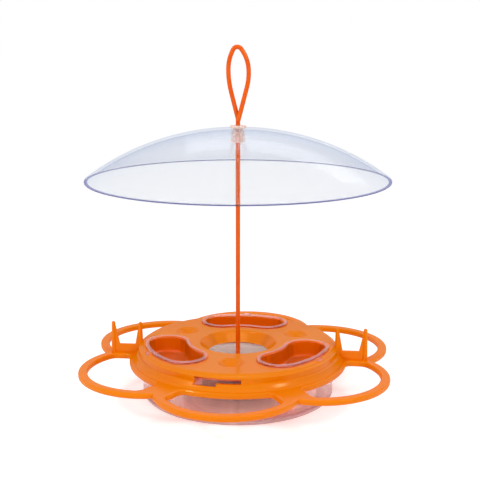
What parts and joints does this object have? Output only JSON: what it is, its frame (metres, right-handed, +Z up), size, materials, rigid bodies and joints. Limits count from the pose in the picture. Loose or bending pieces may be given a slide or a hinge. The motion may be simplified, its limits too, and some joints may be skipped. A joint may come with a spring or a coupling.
{
  "type": "oriole feeder",
  "caption": "Hanging bird feeder: clear nectar basin under an orange cover with perch loops, fruit spikes, jelly wells and twist lock, on a bent wire with a sliding clear dome.",
  "frame": {"origin": "centre of the basin's flat underside, where the feeder stands", "axes": "+Z up along the hanging wire, -Y towards the front, with a nectar port and a lock window in front, +X to the right between the fruit spikes"},
  "size_m": [0.2134, 0.2312, 0.2449],
  "materials": {
    "basin": "clear, slightly pink, glossy",
    "cover": "orange, satin gloss",
    "dish": "clear, glossy",
    "wire": "red-orange coating, glossy",
    "grommet": "translucent, soft",
    "dome": "clear, glossy"
  },
  "bodies": {
    "base": {"basin": "basin", "hanger_wire": "wire"},
    "cover": {"cover": "cover", "jelly_dish_left": "dish", "jelly_dish_right": "dish", "jelly_dish_back": "dish"},
    "grommet": {"dome_grommet": "grommet"},
    "dome": {"weather_dome": "dome"}
  },
  "joints": [
    {"name": "cover_twist", "type": "hinge", "parent": "base", "child": "cover", "pos_m": [0, 0, 0.0315], "axis": [0, 0, 1], "range_deg": [0, 14]},
    {"name": "dome_slide", "type": "slide", "parent": "base", "child": "grommet", "axis": [0, 0, 1], "range_m": [-0.11, 0.002]},
    {"name": "dome_spin", "type": "hinge", "parent": "grommet", "child": "dome", "pos_m": [0, 0, 0.188], "axis": [0, 0, 1], "continuous": true}
  ]
}
